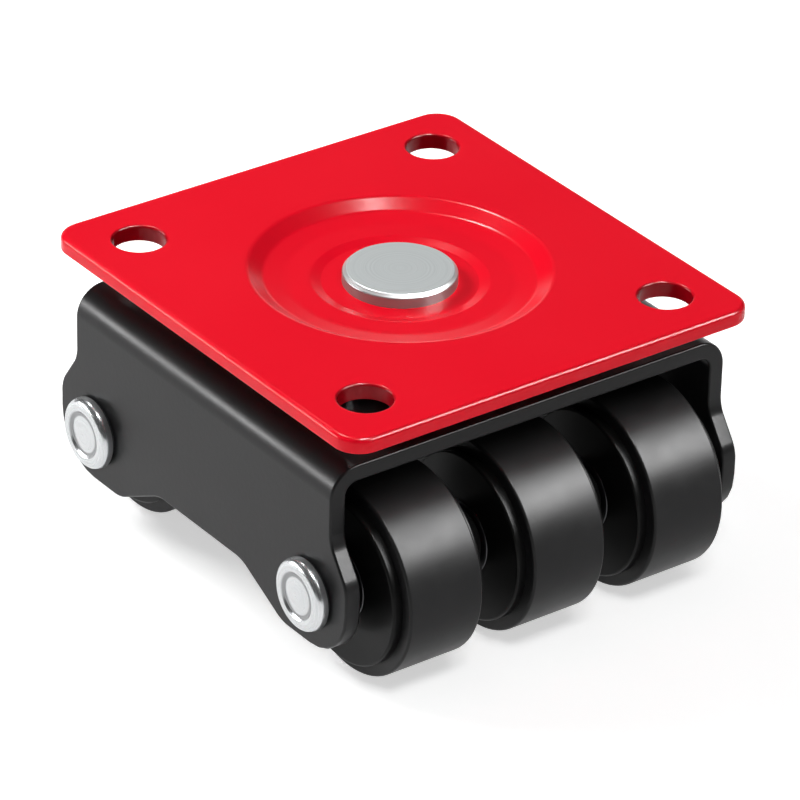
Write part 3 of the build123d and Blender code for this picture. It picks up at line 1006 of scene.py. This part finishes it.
def hang_world():
    """White to the camera; in reflections dark, with a dim back that is white low down."""
    world = bpy.data.worlds.new("studio")
    bpy.context.scene.world = world
    world.use_nodes = True
    tree = world.node_tree
    tree.nodes.clear()
    link = tree.links.new
    ray = add_node(tree, "ShaderNodeLightPath")
    direction = add_node(tree, "ShaderNodeTexCoord")
    parts = add_node(tree, "ShaderNodeSeparateXYZ")
    behind = add_node(
        tree, "ShaderNodeVectorMath", {1: (-sin(VIEW_TURN), cos(VIEW_TURN), 0)},
        operation="DOT_PRODUCT",
    )
    across = add_node(
        tree, "ShaderNodeVectorMath", {1: (cos(VIEW_TURN), sin(VIEW_TURN), 0)},
        operation="DOT_PRODUCT",
    )
    aside = add_node(tree, "ShaderNodeMath", operation="ABSOLUTE")
    within = add_node(tree, "ShaderNodeMath", operation="SUBTRACT")
    wide = add_node(
        tree, "ShaderNodeMapRange",
        {"From Min": BACKDROP_SIDES[0], "From Max": BACKDROP_SIDES[1]},
        interpolation_type="SMOOTHSTEP",
    )
    low = add_node(
        tree, "ShaderNodeMapRange",
        {
            "From Min": BACKDROP_TOP[0], "From Max": BACKDROP_TOP[1],
            "To Min": 1.0, "To Max": STUDIO_DIM,
        },
        interpolation_type="SMOOTHSTEP",
    )
    backdrop = add_node(tree, "ShaderNodeMath", operation="MULTIPLY")
    fade = add_node(tree, "ShaderNodeMath", {1: STUDIO_DARK}, operation="MAXIMUM")
    glossy = add_node(tree, "ShaderNodeMath", operation="MULTIPLY")
    seen = add_node(tree, "ShaderNodeMath", operation="MAXIMUM")
    white = add_node(tree, "ShaderNodeMath", operation="MAXIMUM")
    level = add_node(tree, "ShaderNodeMath", operation="MAXIMUM")
    lit = add_node(tree, "ShaderNodeMath", {1: AMBIENT}, operation="MULTIPLY")
    back = add_node(tree, "ShaderNodeBackground", {"Color": WHITE})
    out = add_node(tree, "ShaderNodeOutputWorld")
    link(direction.outputs["Generated"], parts.inputs[0])
    link(direction.outputs["Generated"], behind.inputs[0])
    link(direction.outputs["Generated"], across.inputs[0])
    link(across.outputs["Value"], aside.inputs[0])
    link(behind.outputs["Value"], within.inputs[0])
    link(aside.outputs[0], within.inputs[1])
    link(within.outputs[0], wide.inputs["Value"])
    link(parts.outputs["Z"], low.inputs["Value"])
    link(wide.outputs["Result"], backdrop.inputs[0])
    link(low.outputs["Result"], backdrop.inputs[1])
    link(backdrop.outputs[0], fade.inputs[0])
    link(ray.outputs["Is Glossy Ray"], glossy.inputs[0])
    link(fade.outputs[0], glossy.inputs[1])
    link(ray.outputs["Is Camera Ray"], seen.inputs[0])
    link(ray.outputs["Is Transmission Ray"], seen.inputs[1])
    link(seen.outputs[0], white.inputs[0])
    link(glossy.outputs[0], white.inputs[1])
    link(ray.outputs["Is Diffuse Ray"], lit.inputs[0])
    link(white.outputs[0], level.inputs[0])
    link(lit.outputs[0], level.inputs[1])
    link(level.outputs[0], back.inputs["Strength"])
    link(back.outputs[0], out.inputs["Surface"])


def hang_lamps():
    """Two boxes that light the caster, and four that it only reflects."""
    softbox("front_right_box", (0.51, -0.61, 0.64), (0.55, 0.38), 29.0, light=False)
    softbox("left_back_box", (-0.42, 0.70, 0.57), (0.45, 0.22), 6.2, shine=False)
    softbox("left_back_strip", (-0.69, 0.69, 0.20), (0.50, 0.12), 6.0, light=False)
    softbox("overhead_box", (-0.10, -0.51, 0.86), (0.36, 0.20), 2.8, shine=False)
    softbox("overhead_strip", (0.07, -0.19, 0.97), (0.26, 0.18), 26.0, light=False)
    softbox("top_back_strip", (0.06, 0.54, 0.84), (0.20, 0.10), 5.0, light=False)


def set_camera():
    """Camera at the photograph's place, with a slight roll."""
    lens = bpy.data.cameras.new("camera")
    lens.lens = VIEW_LENS
    camera = bpy.data.objects.new("camera", lens)
    back = Vector((
        sin(VIEW_TURN) * cos(VIEW_HEIGHT), -cos(VIEW_TURN) * cos(VIEW_HEIGHT), sin(VIEW_HEIGHT),
    ))
    camera.location = VIEW_AIM + back * VIEW_DISTANCE
    camera.rotation_mode = "QUATERNION"
    roll = Quaternion((0, 0, 1), VIEW_TILT)
    camera.rotation_quaternion = (-back).to_track_quat("-Z", "Y") @ roll
    bpy.context.scene.collection.objects.link(camera)
    bpy.context.scene.camera = camera


def build_caster():
    """All pieces, each on its body, with its finish."""
    finishes = make_finishes()

    def dress(piece, body, node, slot):
        """Smooths a piece that there is only one of and fits it."""
        smooth(piece)
        fit(piece, body, node, finishes[slot])

    dress(stamped_plate(), "plate", "top_plate", "red_powder_coat")
    dress(kingpin_rivet(), "plate", "kingpin", "turned_steel")
    dress(kingpin_tube(), "plate", "pivot_sleeve", "turned_steel")
    dress(race_cup(), "plate", "lower_race_cup", "zinc_steel")
    for level, count in (("upper", UPPER_BALLS), ("lower", LOWER_BALLS)):
        ring = ball_set(f"{level}_ball_set", f"{level}_balls", count)
        dress(ring, f"{level}_ball_ring", f"{level}_balls", "ball_steel")
    dress(bent_frame(), "fork", "frame", "black_coat")

    bush = half_size("front_left_bush")
    spacer_start = middle_of("front_middle_bush").x + bush.x + END_FLOAT
    washer_start = middle_of("front_right_bush").x + bush.x + END_FLOAT
    first = {
        "riveted_axle": (riveted_axle(), "axle", "zinc_steel"),
        "spacer_tubes": (
            collar_pair("front_spacer_tubes", "front_wheel_spacers", spacer_start),
            "wheel_spacers", "spacer_black",
        ),
        "thick_washers": (
            collar_pair("front_thick_washers", "front_end_washers", washer_start),
            "end_washers", "spacer_black",
        ),
    }
    to_rear = middle_of("rear_axle") - middle_of("front_axle")
    for kind, (piece, node, slot) in first.items():
        smooth(piece)
        twin = copy_moved(piece, f"rear_{kind}", to_rear)
        fit(piece, "fork", f"front_{node}", finishes[slot])
        fit(twin, "fork", f"rear_{node}", finishes[slot])

    wheel_parts = {
        "tread": (tread_ring(), "tyre", "tread_black"),
        "hub": (wheel_hub(), "core", "core_black"),
        "bearing": (bearing_bush(), "bush", "bush_steel"),
    }
    for kind, (piece, node, slot) in wheel_parts.items():
        smooth(piece)
        home = middle_of(f"front_left_{node}")
        for end in ENDS:
            for side in SIDES:
                target = f"{end}_{side}_{node}"
                made = piece
                if target != f"front_left_{node}":
                    made = copy_moved(piece, f"{end}_{side}_{kind}", middle_of(target) - home)
                fit(made, f"{end}_{side}_wheel", target, finishes[slot])


set_camera()
build_caster()
lay_floor()
hang_world()
hang_lamps()
bpy.context.scene.view_settings.view_transform = "Standard"
